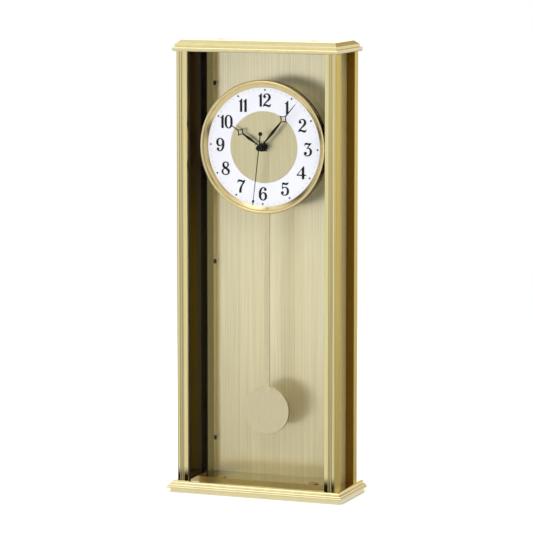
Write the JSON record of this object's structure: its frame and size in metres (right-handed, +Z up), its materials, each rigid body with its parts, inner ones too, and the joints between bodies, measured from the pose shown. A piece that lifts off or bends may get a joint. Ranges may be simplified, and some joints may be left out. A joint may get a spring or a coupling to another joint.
{
  "type": "pendulum wall clock",
  "caption": "Wall clock with pendulum: brass-toned metal case with fluted pillars, glass front, round dial in a bezel, and a flat rod with a disc bob.",
  "frame": {"origin": "centre of the hanging hole, in the plane of the wall", "axes": "+X to the clock's right as seen from the front, +Y into the wall (the front faces -Y), +Z up"},
  "size_m": [0.1858, 0.0757, 0.45],
  "materials": {
    "gold_anodised": "polished, brass-coloured",
    "brass_sheet": "polished",
    "brushed_brass": "brushed, pale",
    "dial_white": "satin white",
    "black_metal": "satin black lacquer",
    "black_rubber": "matt",
    "glass": "clear",
    "steel": "plain",
    "movement_plastic": "moulded",
    "gear_brass": "turned",
    "copper_winding": "enamelled wire",
    "board_green": "solder resist",
    "ferrite": "sintered",
    "cell_can": "printed can",
    "red_plastic": "moulded",
    "white_plastic": "moulded"
  },
  "bodies": {
    "case": {"base_front_moulding": "gold_anodised", "base_left_moulding": "gold_anodised", "base_right_moulding": "gold_anodised", "base_rear_rail": "gold_anodised", "floor_plate": "gold_anodised", "cornice_front_rail": "gold_anodised", "cornice_left_rail": "gold_anodised", "cornice_right_rail": "gold_anodised", "cornice_rear_rail": "gold_anodised", "ceiling_plate": "gold_anodised", "top_plate": "gold_anodised", "case_screws": "gold_anodised", "left_pillar": "gold_anodised", "right_pillar": "gold_anodised", "left_rear_post": "gold_anodised", "right_rear_post": "gold_anodised", "left_side_panel": "brass_sheet", "right_side_panel": "brass_sheet", "back_panel": "brushed_brass", "post_screws": "black_metal", "front_glass": "glass", "glass_seals": "black_rubber", "wall_hanger": "steel", "hanger_rivets": "steel", "dial_drum": "brushed_brass", "drum_screws": "steel", "bezel": "brass_sheet", "bezel_retainer": "black_metal", "dial_plate": "dial_white", "dial_centre_disc": "brushed_brass", "movement_case": "movement_plastic", "movement_cover": "movement_plastic", "gear_bridge": "steel", "mounting_nut": "black_metal", "stators": "steel", "motor_coils": "copper_winding", "circuit_board": "board_green", "antenna": "ferrite", "battery_contacts": "steel", "pendulum_bracket": "steel", "pendulum_pin": "steel", "drive_coil": "copper_winding"},
    "hour": {"hour_hand": "black_metal", "hour_wheel": "gear_brass"},
    "minute": {"minute_hand": "black_metal", "minute_wheel": "gear_brass"},
    "second": {"second_hand": "black_metal", "second_wheel": "gear_brass"},
    "motion_work": {"motion_wheel": "gear_brass"},
    "minute_idle": {"minute_idler": "gear_brass"},
    "second_idle": {"second_idler": "gear_brass"},
    "minute_motor": {"minute_rotor": "gear_brass"},
    "second_motor": {"second_rotor": "gear_brass"},
    "pendulum": {"pendulum_hanger": "white_plastic", "pendulum_rod": "brushed_brass", "bob_front": "brushed_brass", "bob_back": "brushed_brass"},
    "cell": {"battery": "cell_can"},
    "set_key": {"set_button": "red_plastic"},
    "reset_key": {"reset_button": "white_plastic"}
  },
  "joints": [
    {"name": "minute_spin", "type": "hinge", "parent": "case", "child": "minute", "pos_m": [0, 0, -0.0694], "axis": [0, 1, 0], "continuous": true},
    {"name": "hour_spin", "type": "hinge", "parent": "case", "child": "hour", "pos_m": [0, 0, -0.0694], "axis": [0, 1, 0], "continuous": true},
    {"name": "second_spin", "type": "hinge", "parent": "case", "child": "second", "pos_m": [0, 0, -0.0694], "axis": [0, 1, 0], "continuous": true},
    {"name": "motion_spin", "type": "hinge", "parent": "case", "child": "motion_work", "pos_m": [0, 0, -0.0594], "axis": [0, 1, 0], "continuous": true},
    {"name": "minute_idle_spin", "type": "hinge", "parent": "case", "child": "minute_idle", "pos_m": [-0.014, 0, -0.0694], "axis": [0, 1, 0], "continuous": true},
    {"name": "second_idle_spin", "type": "hinge", "parent": "case", "child": "second_idle", "pos_m": [0.014, 0, -0.0694], "axis": [0, 1, 0], "continuous": true},
    {"name": "minute_motor_spin", "type": "hinge", "parent": "case", "child": "minute_motor", "pos_m": [-0.01894, 0, -0.06117], "axis": [0, 1, 0], "continuous": true},
    {"name": "second_motor_spin", "type": "hinge", "parent": "case", "child": "second_motor", "pos_m": [0.01894, 0, -0.06117], "axis": [0, 1, 0], "continuous": true},
    {"name": "pendulum_swing", "type": "hinge", "parent": "case", "child": "pendulum", "pos_m": [0, -0.037, -0.1064], "axis": [0, 1, 0], "range_deg": [-5, 5]},
    {"name": "cell_slide", "type": "slide", "parent": "case", "child": "cell", "axis": [0, 1, 0], "range_m": [0, 0.045]},
    {"name": "set_press", "type": "slide", "parent": "case", "child": "set_key", "axis": [0, -1, 0], "range_m": [0, 0.0007], "stiffness_N_per_m": 250, "springref_m": -0.0008},
    {"name": "reset_press", "type": "slide", "parent": "case", "child": "reset_key", "axis": [0, -1, 0], "range_m": [0, 0.0007], "stiffness_N_per_m": 250, "springref_m": -0.0008}
  ],
  "couplings": [
    {"joint": "hour_spin", "follows": "minute_spin", "ratio": 0.083333},
    {"joint": "motion_spin", "follows": "minute_spin", "ratio": -0.33333},
    {"joint": "minute_idle_spin", "follows": "minute_spin", "ratio": -6},
    {"joint": "minute_motor_spin", "follows": "minute_spin", "ratio": 30},
    {"joint": "second_idle_spin", "follows": "second_spin", "ratio": -6},
    {"joint": "second_motor_spin", "follows": "second_spin", "ratio": 30}
  ]
}
